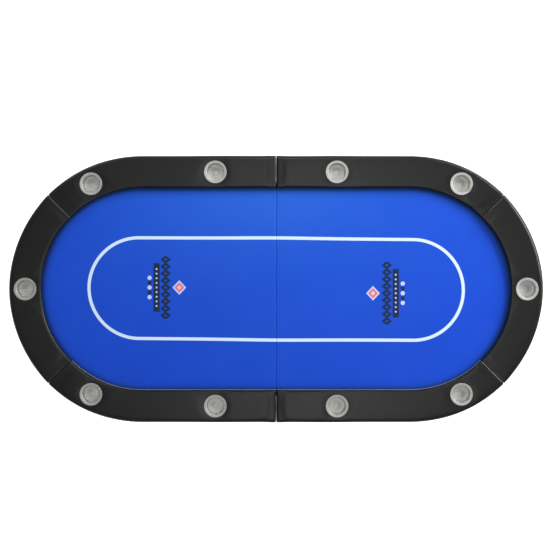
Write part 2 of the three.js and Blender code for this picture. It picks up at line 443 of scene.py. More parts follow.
def makeCloth():
    values = finishes["clothBlue"]
    material, tree, shader = newMaterial("playingCloth")
    where = objectCoordinates(tree)
    weave = useGroup(tree, weaveGroup, {"Vector": where, "Threads": 5200.0})
    marks = useGroup(tree, printGroup, {"Vector": where, "Line Width": printSettings["lineWidth"]})
    colour = blendColour(tree, weave["Nap"], values["dark"], values["light"])
    # painted light: a lighter, cyan-tinted patch towards the back middle of the cloth, standing in for the light
    # falling there
    spot = addNode(tree, "ShaderNodeMapping", vector_type="TEXTURE")
    spot.inputs["Location"].default_value = values["paintedLightPlace"]
    spot.inputs["Scale"].default_value = values["paintedLightReach"]
    tree.links.new(where, spot.inputs["Vector"])
    fromSpot = addNode(tree, "ShaderNodeVectorMath", operation="LENGTH")
    tree.links.new(spot.outputs["Vector"], fromSpot.inputs[0])
    paintedLight = calc(tree, "DIVIDE", 1.0, calc(tree, "ADD", 1.0, calc(tree, "POWER", fromSpot.outputs["Value"], 2.0)))
    colour = blendColour(tree, calc(tree, "MULTIPLY", paintedLight, values["paintedLightAmount"]), colour, values["paintedLight"])
    # painted shade: the cloth is darkened towards navy along the foot of the rail, standing in for the rail's
    # shadow there
    axes = addNode(tree, "ShaderNodeSeparateXYZ")
    tree.links.new(where, axes.inputs[0])
    away = calc(tree, "ABSOLUTE", axes.outputs["X"])
    past = calc(tree, "MAXIMUM", calc(tree, "SUBTRACT", away, arcCentreX), 0.0)
    squares = calc(tree, "ADD", calc(tree, "POWER", past, 2.0), calc(tree, "POWER", axes.outputs["Y"], 2.0))
    reach = calc(tree, "SQRT", squares)
    inwards = calc(tree, "DIVIDE", calc(tree, "SUBTRACT", reach, openingRadius), values["footReach"])
    shade = calc(tree, "MINIMUM", calc(tree, "MULTIPLY", calc(tree, "EXPONENT", inwards), values["footShade"]),
                 values["footMost"])
    colour = blendColour(tree, shade, colour, (0.0005, 0.003, 0.03, 1))
    for name, (ink, cover) in finishes["ink"].items():
        colour = blendColour(tree, calc(tree, "MULTIPLY", marks[name], cover), colour, ink)
    dust = useGroup(tree, dustGroup, {"Vector": where, "Amount": 0.05})
    colour = blendColour(tree, dust["Mask"], colour, (0.25, 0.38, 0.66, 1))
    tree.links.new(colour, shader.inputs["Base Color"])
    varyRoughness(tree, shader, weave["Nap"], 0.42, 0.12)
    shader.inputs["Specular IOR Level"].default_value = 0.25
    shader.inputs["Specular Tint"].default_value = (0.3, 0.9, 1.0, 1)
    shader.inputs["Sheen Weight"].default_value = 0.03
    shader.inputs["Sheen Roughness"].default_value = 0.5
    addBump(tree, shader, weave["Height"], 0.25, 0.0003)
    return material


def makeSpunMetal(name, colour, rough):
    # turning marks run round the cup, so they follow its own map
    material, tree, shader = newMaterial(name)
    around = addNode(tree, "ShaderNodeUVMap")
    stretch = addNode(tree, "ShaderNodeMapping")
    stretch.inputs["Scale"].default_value = (1.5, 260.0, 1.0)
    tree.links.new(around.outputs["UV"], stretch.inputs["Vector"])
    rings = noiseField(tree, stretch.outputs["Vector"], 3.0, 4.0, 0.6)
    smudge = noiseField(tree, objectCoordinates(tree), 38.0, 3.0)
    tone = calc(tree, "ADD", calc(tree, "MULTIPLY", rings, 0.5), calc(tree, "MULTIPLY", smudge, 0.5))
    paintBase(tree, shader, tone, tuple(c * 0.82 for c in colour[:3]) + (1,), colour)
    varyRoughness(tree, shader, tone, rough - 0.08, 0.16)
    shader.inputs["Metallic"].default_value = 1.0
    addBump(tree, shader, rings, 0.12, 0.0002)
    return material


def makePlateMetal():
    material, tree, shader = newMaterial("hingeSteel")
    where = objectCoordinates(tree)
    stretch = addNode(tree, "ShaderNodeMapping")
    stretch.inputs["Scale"].default_value = (900.0, 40.0, 900.0)
    tree.links.new(where, stretch.inputs["Vector"])
    lines = noiseField(tree, stretch.outputs["Vector"], 1.0, 3.0)
    spots = noiseField(tree, where, 90.0, 4.0, 0.7)
    paintBase(tree, shader, spots, (0.36, 0.36, 0.37, 1), (0.58, 0.58, 0.59, 1))
    varyRoughness(tree, shader, lines, 0.25, 0.25)
    shader.inputs["Metallic"].default_value = 1.0
    addBump(tree, shader, lines, 0.1, 0.0002)
    return material


def makeBoardFace():
    material, tree, shader = newMaterial("blackBoard")
    where = objectCoordinates(tree)
    speck = noiseField(tree, where, 420.0, 2.0, 0.7)
    dust = useGroup(tree, dustGroup, {"Vector": where, "Amount": 0.5})
    base = blendColour(tree, speck, (0.010, 0.0105, 0.011, 1), (0.028, 0.029, 0.030, 1))
    paintBase(tree, shader, dust["Mask"], base, (0.18, 0.17, 0.16, 1))
    varyRoughness(tree, shader, speck, 0.42, 0.2)
    addBump(tree, shader, speck, 0.12, 0.0003)
    return material


def makeFibreboard():
    material, tree, shader = newMaterial("rawFibreboard")
    where = objectCoordinates(tree)
    fibre = noiseField(tree, where, 700.0, 4.0, 0.75)
    layers = addNode(tree, "ShaderNodeMapping")
    layers.inputs["Scale"].default_value = (20.0, 20.0, 600.0)
    tree.links.new(where, layers.inputs["Vector"])
    bands = noiseField(tree, layers.outputs["Vector"], 1.0, 2.0)
    tone = calc(tree, "ADD", calc(tree, "MULTIPLY", fibre, 0.6), calc(tree, "MULTIPLY", bands, 0.4))
    paintBase(tree, shader, tone, (0.22, 0.14, 0.075, 1), (0.46, 0.33, 0.2, 1))
    shader.inputs["Roughness"].default_value = 0.85
    addBump(tree, shader, fibre, 0.3, 0.0005)
    return material


def makeFoam():
    material, tree, shader = newMaterial("openFoam")
    where = objectCoordinates(tree)
    pores = addNode(tree, "ShaderNodeTexVoronoi")
    tree.links.new(where, pores.inputs["Vector"])
    pores.inputs["Scale"].default_value = 700.0
    paintBase(tree, shader, pores.outputs["Distance"], (0.42, 0.39, 0.30, 1), (0.74, 0.71, 0.60, 1))
    shader.inputs["Roughness"].default_value = 0.95
    addBump(tree, shader, pores.outputs["Distance"], 0.5, 0.0008)
    return material


def makeRubber():
    material, tree, shader = newMaterial("footRubber")
    where = objectCoordinates(tree)
    dust = useGroup(tree, dustGroup, {"Vector": where, "Amount": 0.7})
    paintBase(tree, shader, dust["Mask"], (0.012, 0.012, 0.012, 1), (0.12, 0.115, 0.11, 1))
    rough = noiseField(tree, where, 300.0, 2.0)
    varyRoughness(tree, shader, rough, 0.65, 0.2)
    addBump(tree, shader, rough, 0.2, 0.0003)
    return material


def makePipingHighlightGrey():
    # the light grey is a painted highlight; the noise only makes it uneven
    material, tree, shader = newMaterial("pipingGrey")
    where = objectCoordinates(tree)
    highlightMottle = noiseField(tree, where, 60.0, 3.0, 0.6)
    paintBase(tree, shader, highlightMottle, (0.125, 0.128, 0.137, 1), (0.25, 0.256, 0.274, 1))
    shader.inputs["Roughness"].default_value = 0.5
    addBump(tree, shader, noiseField(tree, where, 900.0), 0.2, 0.0002)
    return material


vinylSkin = makeVinyl("railVinyl", finishes["vinyl"])
vinylEdgeHighlight = makeVinyl("railVinylCrease", finishes["vinylEdgeHighlight"])
pipingGrey = makePipingHighlightGrey()
playingCloth = makeCloth()
cupMetal = makeSpunMetal("spunAluminium", (0.49, 0.485, 0.47, 1), 0.60)
# painted light: the inside of each cup is a lighter copy of the same aluminium, offsetting the shade in the cup's
# hollow
cupInsideLightened = makeSpunMetal("spunAluminiumInside", (0.625, 0.62, 0.60, 1), 0.56)
hingeSteel = makePlateMetal()
boardBlack = makeBoardFace()
fibreboard = makeFibreboard()
foam = makeFoam()
rubber = makeRubber()
print("materials ready")


# ---------- mesh helpers

def meshObject(name, verts, faces, materials):
    mesh = bpy.data.meshes.new(name)
    mesh.from_pydata(verts, [], faces)
    mesh.validate()
    for material in materials:
        mesh.materials.append(material)
    mesh.polygons.foreach_set("use_smooth", [True] * len(mesh.polygons))
    made = bpy.data.objects.new(name, mesh)
    scene.collection.objects.link(made)
    return made


def turnOutwards(thing):
    work = bmesh.new()
    work.from_mesh(thing.data)
    bmesh.ops.remove_doubles(work, verts=work.verts, dist=1e-6)
    bmesh.ops.recalc_face_normals(work, faces=work.faces)
    work.to_mesh(thing.data)
    work.free()


def applyModifiers(thing):
    bpy.context.view_layer.update()
    graph = bpy.context.evaluated_depsgraph_get()
    fresh = bpy.data.meshes.new_from_object(thing.evaluated_get(graph), depsgraph=graph)
    old = thing.data
    thing.modifiers.clear()
    thing.data = fresh
    fresh.name = thing.name
    bpy.data.meshes.remove(old)


def stepsBetween(start, end, size):
    count = max(1, round(abs(end - start) / size))
    return [start + (end - start) * i / count for i in range(count + 1)]


def smoothRise(value, low, high):
    t = min(1.0, max(0.0, (value - low) / (high - low)))
    return t * t * (3 - 2 * t)


# a place along the oval: the point that the rail's radius is measured from, and the way outwards
def station(along, side):
    if along < arcCentreX:
        return Vector((along * side[0], 0, 0)), Vector((0, side[1], 0))
    angle = math.pi / 2 - (along - arcCentreX) / endRadius
    return (Vector((arcCentreX * side[0], 0, 0)),
            Vector((math.cos(angle) * side[0], math.sin(angle) * side[1], 0)))


# ---------- padded rail

railShape = {
    "inner": openingRadius,
    "outer": endRadius,
    "top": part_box("left_end_cover")[1].z,
    "bottom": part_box("left_end_cover")[0].z,
    "clothStep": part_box("left_cloth")[1].z + 0.0004,
    "stepRadius": openingRadius + 0.027,
    "crown": 0.0012,
    "innerRound": 0.0068,
    "outerRound": 0.0135,
    "endRound": 0.0048,
    "foldRound": 0.0090,
    "endGap": 0.0004,
    "foldGap": 0.00005,
    "spacing": 0.008,
    "flangeRadius": 0.045,
    "holeRadius": 0.0352,
}

puffSettings = {
    "pressure": 4,
    "stretch": 40,
    "bend": 2,
    "frames": 16,
    "cap": 0.0016,
    "ease": (0.003, 0.075),  # from none to all of it, measured from a cut end
    "smooth": 10,
}

cupNames = ["end_cup", "back_corner_cup", "back_side_cup", "front_corner_cup", "front_side_cup"]


def cupCentre(node):
    low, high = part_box(node)
    return Vector(((low.x + high.x) / 2, (low.y + high.y) / 2, 0))


def spread(start, end, count):
    return [start + (end - start) * i / count for i in range(count + 1)]


def railProfile(shrink):
    # closed loop of (radius, height), from the inner foot up, over the top, down outside and back underneath
    s = railShape
    inner, outer = s["inner"] + shrink * 0.5, s["outer"] - shrink * 0.25
    top = s["top"] - shrink
    quarterTurn = [math.pi / 2 * i / 5 for i in range(6)]
    points = [(inner, z) for z in spread(s["clothStep"], top - s["innerRound"], 3)[:-1]]
    points += [(inner + s["innerRound"] * (1 - math.cos(a)), top - s["innerRound"] * (1 - math.sin(a)))
               for a in quarterTurn]
    points += [(r, top) for r in spread(inner + s["innerRound"], outer - s["outerRound"], 16)[1:-1]]
    points += [(outer - s["outerRound"] * (1 - math.sin(a)), top - s["outerRound"] * (1 - math.cos(a)))
               for a in quarterTurn]
    points += [(outer, z) for z in spread(top - s["outerRound"], s["bottom"] + 0.003, 3)[1:]]
    points.append((outer - 0.002, s["bottom"]))
    return points


def crownAt(radius):
    s = railShape
    t = (radius - s["inner"]) / (s["outer"] - s["inner"])
    return s["crown"] * math.sin(math.pi * min(1, max(0, t))) ** 0.7


def buildRail(half, where, side, begin, end, cups):
    s = railShape
    name = f"{half}_{where}_rail"
    beginRound = s["endRound"] if where == "end" else s["foldRound"]
    endRound = s["endRound"]
    mid = (s["inner"] + s["outer"]) / 2
    # distance along the oval is kept on the outer radius, so the arc's share is scaled to the rail's middle
    total = end - begin
    count = round(total * mid / endRadius / s["spacing"])
    ease = [0.0, 0.10, 0.3, 0.6, 1.0]
    inner = [begin + total * i / count for i in range(count + 1)]
    inner = [a for a in inner if begin + beginRound * 1.6 < a < end - endRound * 1.6]
    places = [begin + beginRound * e for e in ease] + inner + [end - endRound * e for e in reversed(ease)]
    rows = []
    for along in places:
        origin, out = station(along, side)
        nearEnd = min(along - begin, end - along)
        roundness = beginRound if along - begin < end - along else endRound
        shrink = 0.0
        if nearEnd < roundness:
            shrink = roundness - math.sqrt(max(0.0, roundness ** 2 - (roundness - nearEnd) ** 2))
        row = []
        for r, z in railProfile(shrink):
            point = origin + out * r
            if z > s["top"] - 0.02:
                lift = crownAt(r) * smoothRise(nearEnd, 0, 0.03)
                for cup in cups:
                    gap = (Vector((point.x, point.y, 0)) - cup).length
                    lift *= smoothRise(gap, s["flangeRadius"] - 0.002, s["flangeRadius"] + 0.022)
                z += lift * smoothRise(z, s["top"] - 0.016, s["top"] - 0.001)
            row.append((point.x, point.y, z))
        # underside, stepped up over the cloth
        for r, z in ((s["stepRadius"], s["bottom"]), (s["stepRadius"], s["clothStep"])):
            point = origin + out * r
            row.append((point.x, point.y, z))
        rows.append(row)
    width = len(rows[0])
    verts = [p for row in rows for p in row]
    faces = []
    for i in range(len(rows) - 1):
        for j in range(width):
            k = (j + 1) % width
            faces.append((i * width + j, (i + 1) * width + j, (i + 1) * width + k, i * width + k))
    last = (len(rows) - 1) * width
    faces.append(tuple(range(width)))
    faces.append(tuple(last + j for j in reversed(range(width))))
    rail = meshObject(name, verts, faces, [vinylSkin, foam, fibreboard, vinylEdgeHighlight])
    creased = (len(ease) - 1) * width  # the skin is shinier where it turns over the mitred ends, and painted lighter there as a highlight on the joint lines
    turned = list(rail.data.polygons)[last - creased:last]
    if where == "end":
        turned += list(rail.data.polygons)[:creased]
    for face in turned:
        face.material_index = 3
    turnOutwards(rail)
    return rail


def alongOval(point, side):
    x, y = point.x * side[0], point.y * side[1]
    if x < arcCentreX:
        return x
    return arcCentreX + endRadius * (math.pi / 2 - math.atan2(y, x - arcCentreX))


def puffRail(rail, cups, side, begin, end):
    # the foam pushes the skin out, but not against the board, round the cup flanges or at the cut ends
    s, p = railShape, puffSettings
    held = rail.vertex_groups.new(name="held")
    start = [v.co.copy() for v in rail.data.vertices]
    for v in rail.data.vertices:
        flat = Vector((v.co.x, v.co.y, 0))
        nearCup = any((flat - cup).length < s["flangeRadius"] - 0.002 for cup in cups)
        if nearCup or v.co.z < s["bottom"] + 0.008:
            held.add([v.index], 1.0, "REPLACE")
    cloth = rail.modifiers.new("puff", "CLOTH")
    cloth.settings.vertex_group_mass = "held"
    cloth.settings.use_pressure = True
    cloth.settings.uniform_pressure_force = p["pressure"]
    cloth.settings.tension_stiffness = p["stretch"]
    cloth.settings.compression_stiffness = p["stretch"]
    cloth.settings.bending_stiffness = p["bend"]
    cloth.settings.effector_weights.gravity = 0
    cloth.point_cache.frame_start = 1
    cloth.point_cache.frame_end = p["frames"]
    for step in range(1, p["frames"] + 1):
        scene.frame_set(step)
    graph = bpy.context.evaluated_depsgraph_get()
    moved = [v.co.copy() for v in rail.evaluated_get(graph).data.vertices]
    rail.modifiers.clear()
    scene.frame_set(1)
    shifts = [new - old for old, new in zip(start, moved)]
    beside = [[] for _ in start]
    for edge in rail.data.edges:
        a, b = edge.vertices
        beside[a].append(b)
        beside[b].append(a)
    for _ in range(p["smooth"]):
        shifts = [(shift + sum((shifts[k] for k in near), Vector())) / (1 + len(near))
                  for shift, near in zip(shifts, beside)]
    for v, old, shift in zip(rail.data.vertices, start, shifts):
        along = alongOval(old, side)
        shift = shift * smoothRise(min(along - begin, end - along), *p["ease"])
        if shift.length > p["cap"]:
            shift *= p["cap"] / shift.length
        v.co = old + shift
    rail.vertex_groups.clear()


def cutCupHoles(rail, cups):
    s = railShape
    for cup in cups:
        work = bmesh.new()
        bmesh.ops.create_cone(work, cap_ends=True, segments=64, radius1=s["holeRadius"], radius2=s["holeRadius"],
                              depth=0.12)
        mesh = bpy.data.meshes.new("cupCutter")
        work.to_mesh(mesh)
        work.free()
        mesh.transform(Matrix.Translation(Vector((cup.x, cup.y, s["top"]))))
        cutter = bpy.data.objects.new("cupCutter", mesh)
        scene.collection.objects.link(cutter)
        hole = rail.modifiers.new("hole", "BOOLEAN")
        hole.operation = "DIFFERENCE"
        hole.solver = "EXACT"
        hole.object = cutter
        applyModifiers(rail)
        bpy.data.objects.remove(cutter)
    for face in rail.data.polygons:
        face.use_smooth = True
        for cup in cups:
            out = Vector((face.center.x, face.center.y, 0)) - cup
            if out.length < s["holeRadius"] + 0.0002 and abs(face.normal.z) < 0.3:
                face.material_index = 1 if face.center.z > 0.033 else 2
                face.use_smooth = False


def makeRails():
    quarter = endRadius * math.pi / 4
    gap = railShape["endGap"]
    for half, sx in (("left", -1), ("right", 1)):
        for where, sy in (("back", 1), ("end", 1), ("front", -1)):
            if where == "end":
                begin, end = arcCentreX + quarter + gap, arcCentreX + quarter * 3 - gap
                cups = [cupCentre(f"{half}_end_cup")]
            else:
                begin, end = railShape["foldGap"], arcCentreX + quarter - gap
                cups = [cupCentre(f"{half}_{where}_corner_cup"), cupCentre(f"{half}_{where}_side_cup")]
            rail = buildRail(half, where, (sx, sy), begin, end, cups)
            puffRail(rail, cups, (sx, sy), begin, end)
            finer = rail.modifiers.new("finer", "SUBSURF")
            finer.levels = finer.render_levels = 1
            applyModifiers(rail)
            cutCupHoles(rail, cups)
            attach(rail, f"{half}_half")
            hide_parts(f"{half}_{where}_cover", f"{half}_{where}_pad", f"{half}_{where}_core")


makeRails()
print("rails ready")


# ---------- light grey piping along the foot of the front rail only: a painted highlight for the light caught along the front rails' inner edge

pipingShape = {"radius": 0.0015, "proud": 0.0006, "sides": 8}


def makePiping():
    s, p = railShape, pipingShape
    for half, sx in (("left", -1), ("right", 1)):
        verts, faces = [], []
        stops = stepsBetween(0.0006, arcCentreX + endRadius * math.pi / 4 - 0.002, 0.008)
        for along in stops:
            origin, out = station(along, (sx, -1))
            for k in range(p["sides"]):
                a = 2 * math.pi * k / p["sides"]
                point = origin + out * (s["inner"] - p["proud"] + p["radius"] * math.cos(a))
                verts.append((point.x, point.y, s["clothStep"] + p["radius"] * (1 + math.sin(a))))
        n = p["sides"]
        for i in range(len(stops) - 1):
            for k in range(n):
                m = (k + 1) % n
                faces.append((i * n + k, (i + 1) * n + k, (i + 1) * n + m, i * n + m))
        faces += [tuple(range(n)), tuple(reversed(range((len(stops) - 1) * n, len(stops) * n)))]
        piping = meshObject(f"{half}_front_piping", verts, faces, [pipingGrey])
        turnOutwards(piping)
        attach(piping, f"{half}_half")


makePiping()
print("piping ready")


# ---------- playing cloth

clothShape = {
    "radius": openingRadius + 0.0245,
    "top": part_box("left_cloth")[1].z,
    "bottom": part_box("left_cloth")[0].z,
    "edgeX": 0.00002,
    "edgeRound": 0.0028,
    "return": 0.032,
    "thick": 0.0009,
    "grid": 0.009,
    "hingeNotch": 0.044,
}


def seamPath():
    # the cloth from its tucked end, round the board's lower edge, up the fold face and over on to the top
    s = clothShape
    low, high, r, x0 = s["bottom"], s["top"], s["edgeRound"], s["edgeX"]
    path = [(x, low) for x in stepsBetween(s["return"], x0 + r, 0.008)]
    for i in range(1, 4):
        a = i / 4 * math.pi / 2
        path.append((x0 + r * (1 - math.sin(a)), low + r * (1 - math.cos(a))))
    path += [(x0, z) for z in stepsBetween(low + r, high - r, 0.004)]
    for i in range(1, 5):
        a = i / 5 * math.pi / 2
        path.append((x0 + r * (1 - math.cos(a)), high - r * (1 - math.sin(a))))
    return path


def clothHeight(x, y):
    # the foam under it is not perfectly even
    broad = noise.noise(Vector((x * 4.1, y * 4.1, 0.3)))
    fine = noise.noise(Vector((x * 13, y * 13, 1.7)))
    return 0.00045 * broad + 0.0002 * fine


def buildCloth(half, sx):
    s = clothShape
    hingeRows = [(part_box(f"{row}_hinge_pin")[0].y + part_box(f"{row}_hinge_pin")[1].y) / 2
                 for row in ("back", "middle", "front")]
    verts, faces, index = [], [], {}

    def vert(x, y, z):
        key = (round(x, 6), round(y, 6), round(z, 6))
        if key not in index:
            index[key] = len(verts)
            verts.append((x * sx, y, z))
        return index[key]

    ys = stepsBetween(-s["radius"], s["radius"], s["grid"])
    wrap = seamPath()
    onTop = [(x, s["top"]) for x in stepsBetween(s["edgeX"] + s["edgeRound"], arcCentreX, s["grid"])]
    path = wrap + onTop

    def surface(x, y, z):
        if z < s["top"] - 1e-6:
            return vert(x, y, z)
        return vert(x, y, z + clothHeight(x * sx, y) * smoothRise(x, 0.003, 0.04))

    for i in range(len(path) - 1):
        for j in range(len(ys) - 1):
            (x0, z0), (x1, z1) = path[i], path[i + 1]
            middle = (ys[j] + ys[j + 1]) / 2
            below = max(z0, z1) < s["bottom"] + s["edgeRound"] + 1e-5
            if below and any(abs(middle - y) < s["hingeNotch"] for y in hingeRows):
                continue
            faces.append((surface(x0, ys[j], z0), surface(x1, ys[j], z1),
                          surface(x1, ys[j + 1], z1), surface(x0, ys[j + 1], z0)))
    # half-round end: strips that narrow towards the rim
    rings = len(ys) // 2
    for i in range(len(ys) - 1):
        y0, y1 = ys[i], ys[i + 1]
        w0, w1 = (math.sqrt(max(0, s["radius"] ** 2 - y ** 2)) for y in (y0, y1))
        for k in range(rings):
            a, b = k / rings, (k + 1) / rings
            corner = [surface(arcCentreX + w0 * a, y0, s["top"]), surface(arcCentreX + w0 * b, y0, s["top"]),
                      surface(arcCentreX + w1 * b, y1, s["top"]), surface(arcCentreX + w1 * a, y1, s["top"])]
            unique = list(dict.fromkeys(corner))
            if len(unique) > 2:
                faces.append(tuple(unique))
    cloth = meshObject(f"{half}_playing_cloth", verts, faces, [playingCloth])
    if sx > 0:
        cloth.data.flip_normals()
    cloth.data.update()
    up = sum(1 if f.normal.z > 0 else -1 for f in cloth.data.polygons if f.center.z > s["top"] - 0.001)
    if up < 0:
        cloth.data.flip_normals()
    thicker = cloth.modifiers.new("thickness", "SOLIDIFY")
    thicker.thickness = s["thick"]
    thicker.offset = -1
    applyModifiers(cloth)
    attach(cloth, f"{half}_half")
    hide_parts(f"{half}_cloth")


buildCloth("left", -1)
buildCloth("right", 1)
print("cloth ready")


# ---------- boards

boardShape = {"inset": 0.006, "eased": 0.0008, "cupHole": 0.036, "rimStep": 0.022}


def ringPoints(centre, radius, count):
    angles = [2 * math.pi * i / count for i in range(count)]
    return [(centre.x + radius * math.cos(a), centre.y + radius * math.sin(a)) for a in angles]


def buildBoard(half, sx):
    low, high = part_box(f"{half}_board")
    eased = boardShape["eased"]
    radius = endRadius - boardShape["inset"] - eased
    foldX = min(abs(low.x), abs(high.x)) + eased
    rim = [(foldX, -radius)]
    rim += [(arcCentreX + radius * math.cos(a), radius * math.sin(a))
            for a in stepsBetween(-math.pi / 2, math.pi / 2, boardShape["rimStep"])]
    rim += [(foldX, radius)]
    outlines = [[(x * sx, y) for x, y in rim]]
    for name in cupNames:
        outlines.append(ringPoints(cupCentre(f"{half}_{name}"), boardShape["cupHole"] + eased, 48))
    curve = bpy.data.curves.new(f"{half}_top_board", "CURVE")
    curve.dimensions = "2D"
    curve.fill_mode = "BOTH"
    curve.extrude = (high.z - low.z) / 2 - eased
    curve.bevel_depth = eased
    curve.bevel_resolution = 1
    for points in outlines:
        spline = curve.splines.new("POLY")
        spline.points.add(len(points) - 1)
        for slot, (x, y) in zip(spline.points, points):
            slot.co = (x, y, 0, 1)
        spline.use_cyclic_u = True
    drawn = bpy.data.objects.new("boardOutline", curve)
    scene.collection.objects.link(drawn)
    graph = bpy.context.evaluated_depsgraph_get()
    mesh = bpy.data.meshes.new_from_object(drawn.evaluated_get(graph), depsgraph=graph)
    bpy.data.objects.remove(drawn)
    mesh.transform(Matrix.Translation((0, 0, (low.z + high.z) / 2)))
    mesh.materials.clear()
    mesh.materials.append(boardBlack)
    board = bpy.data.objects.new(f"{half}_top_board", mesh)
    scene.collection.objects.link(board)
    turnOutwards(board)
    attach(board, f"{half}_half")
    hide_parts(f"{half}_board")


buildBoard("left", -1)
buildBoard("right", 1)
print("boards ready")


# ---------- cup holders

cupShape = {"wall": 0.0009, "outerWall": 0.0348, "corner": 0.0038, "bead": 0.0009, "segments": 84,
            "insideRadius": 0.0352}


def turnedPiece(name, profile, centre, segments, materials):
    # profile runs from the axis round to the axis, as (radius, height)
    lengths = [0.0]
    for (r0, z0), (r1, z1) in zip(profile, profile[1:]):
        lengths.append(lengths[-1] + math.hypot(r1 - r0, z1 - z0))
    verts, rings = [], []
    for r, z in profile:
        if r < 1e-6:
            rings.append([len(verts)] * segments)
            verts.append((centre.x, centre.y, z))
        else:
            rings.append([len(verts) + i for i in range(segments)])
            verts += [(centre.x + r * math.cos(2 * math.pi * i / segments),
                       centre.y + r * math.sin(2 * math.pi * i / segments), z) for i in range(segments)]
    faces, maps = [], []
    for k in range(len(profile) - 1):
        for i in range(segments):
            j = (i + 1) % segments
            corners = [(rings[k][i], i, k), (rings[k][j], i + 1, k),
                       (rings[k + 1][j], i + 1, k + 1), (rings[k + 1][i], i, k + 1)]
            seen, kept = set(), []
            for corner in corners:
                if corner[0] not in seen:
                    seen.add(corner[0])
                    kept.append(corner)
            if len(kept) > 2:
                faces.append(tuple(c[0] for c in kept))
                maps.append([(c[1] / segments, lengths[c[2]]) for c in kept])
    made = meshObject(name, verts, faces, materials)
    layer = made.data.uv_layers.new(name="turned")
    for face, spots in zip(made.data.polygons, maps):
        for loop, spot in zip(face.loop_indices, spots):
            layer.data[loop].uv = spot
    volume = sum((f.center - centre).dot(f.normal) * f.area for f in made.data.polygons)
    if volume < 0:
        made.data.flip_normals()
    return made


def arcPoints(centreR, centreZ, radius, fromAngle, toAngle, count):
    points = []
    for i in range(count + 1):
        a = math.radians(fromAngle + (toAngle - fromAngle) * i / count)
        points.append((centreR + radius * math.cos(a), centreZ + radius * math.sin(a)))
    return points


def cupProfile(low, high):
    s = cupShape
    flange = (high.x - low.x) / 2
    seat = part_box("left_end_cover")[1].z + 0.0003
    wall, outerWall, corner = s["wall"], s["outerWall"], s["corner"]
    innerWall = outerWall - wall
    top = seat + 0.0009
    profile = [(0, low.z), (0.012, low.z)]
    profile += arcPoints(outerWall - corner - wall, low.z + corner + wall, corner + wall, -90, 0, 8)
    profile += [(outerWall, low.z + 0.02), (outerWall, seat - 0.0012), (outerWall + 0.0012, seat)]
    profile += [(flange - 0.004, seat)]
    profile += arcPoints(flange - s["bead"], seat + s["bead"], s["bead"], -90, 90, 6)
    profile += [(flange - 0.004, top), (innerWall + 0.0030, top)]
    profile += arcPoints(innerWall + 0.0026, top - 0.0026, 0.0026, 90, 180, 5)[1:]
    profile += [(innerWall, low.z + 0.02)]
    profile += arcPoints(innerWall - corner, low.z + corner + wall, corner, 0, -90, 8)
    profile += [(0.0125, low.z + wall), (0.0118, low.z + wall + 0.0003), (0, low.z + wall + 0.0003)]
    return profile


def makeCups():
    for half in ("left", "right"):
        for name in cupNames:
            node = f"{half}_{name}"
            low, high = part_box(node)
            centre = cupCentre(node)
            profile = cupProfile(low, high)
            cup = turnedPiece(f"{node}_spun", profile, centre, cupShape["segments"], [cupMetal, cupInsideLightened])
            # faces inside the cup take the lighter copy, painted light against the shade in the hollow
            for face in cup.data.polygons:
                out = Vector((face.center.x - centre.x, face.center.y - centre.y, 0))
                facesIn = out.dot(face.normal) < 0.002 and face.normal.z > -0.05
                if facesIn and out.length < cupShape["insideRadius"]:
                    face.material_index = 1
            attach(cup, node)
            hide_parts(node)


makeCups()
print("cups ready")


# ---------- feet

def makeFeet():
    for half in ("left", "right"):
        for i in range(1, 5):
            node = f"{half}_foot_{i}"
            low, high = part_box(node)
            centre = Vector(((low.x + high.x) / 2, (low.y + high.y) / 2, 0))
            r, h = (high.x - low.x) / 2, high.z
            profile = [(0, h)] + arcPoints(r - 0.0006, h - 0.0006, 0.0006, 90, 0, 3)
            profile += arcPoints(r - 0.0034, 0.0014, 0.0014, 0, -90, 4)
            profile += [(0.0082, 0), (0.0076, 0.0006), (0.0068, 0.0034), (0.0, 0.0034)]
            foot = turnedPiece(f"{half}_rubber_foot_{i}", profile, centre, 40, [rubber])
            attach(foot, f"{half}_half")
            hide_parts(node)


makeFeet()
print("feet ready")


# ---------- fastenings, placed by Geometry Nodes

fastenings = {
    "screwHead": 0.0036,
    "screwDome": 0.0009,
    "boltHead": 0.0075,
    "boltDome": 0.0022,
    "washer": 0.0115,
    "washerThick": 0.0009,
    "stapleWide": 0.0095,
    "stapleWire": 0.0007,
    "stapleSpacing": 0.03,
    "seed": 7,
}


def fastenerMesh(name, radius, dome, washer, washerThick, material):
    # head pointing down, with a cross slot; its seat is at height zero
    seat = -washerThick
    if washer:
        profile = [(0, 0), (washer, 0), (washer, seat), (radius, seat)]
    else:
        profile = [(0, 0), (radius, 0)]
    for i in range(1, 6):
        a = i / 6 * math.pi / 2
        profile.append((radius * math.cos(a), seat - dome * math.sin(a)))
    profile += [(radius * 0.24, seat - dome * 0.98), (radius * 0.2, seat - dome * 0.35), (0, seat - dome * 0.3)]
    made = turnedPiece(name, profile, Vector((0, 0, 0)), 20, [material])
    work = bmesh.new()
    work.from_mesh(made.data)
    for v in work.verts:
        reach = math.hypot(v.co.x, v.co.y)
        if radius * 0.15 < reach < radius * 0.3:  # pull the recess into a cross
            angle = math.atan2(v.co.y, v.co.x)
            stretch = 1.0 + 0.9 * max(0.0, math.cos(4 * angle)) ** 2
            v.co.x *= stretch
            v.co.y *= stretch
    work.to_mesh(made.data)
    work.free()
    return made


def stapleMesh(name, wide, wire, material):
    work = bmesh.new()
    bmesh.ops.create_cube(work, size=1)
    bmesh.ops.scale(work, vec=(wide, wire * 1.4, wire), verts=work.verts)
    bmesh.ops.bevel(work, geom=work.edges[:], offset=wire * 0.3, segments=1, affect="EDGES")
    bmesh.ops.translate(work, vec=(0, 0, -wire / 2), verts=work.verts)
    mesh = bpy.data.meshes.new(name)
    work.to_mesh(mesh)
    work.free()
    mesh.materials.append(material)
    made = bpy.data.objects.new(name, mesh)
    scene.collection.objects.link(made)
    return made


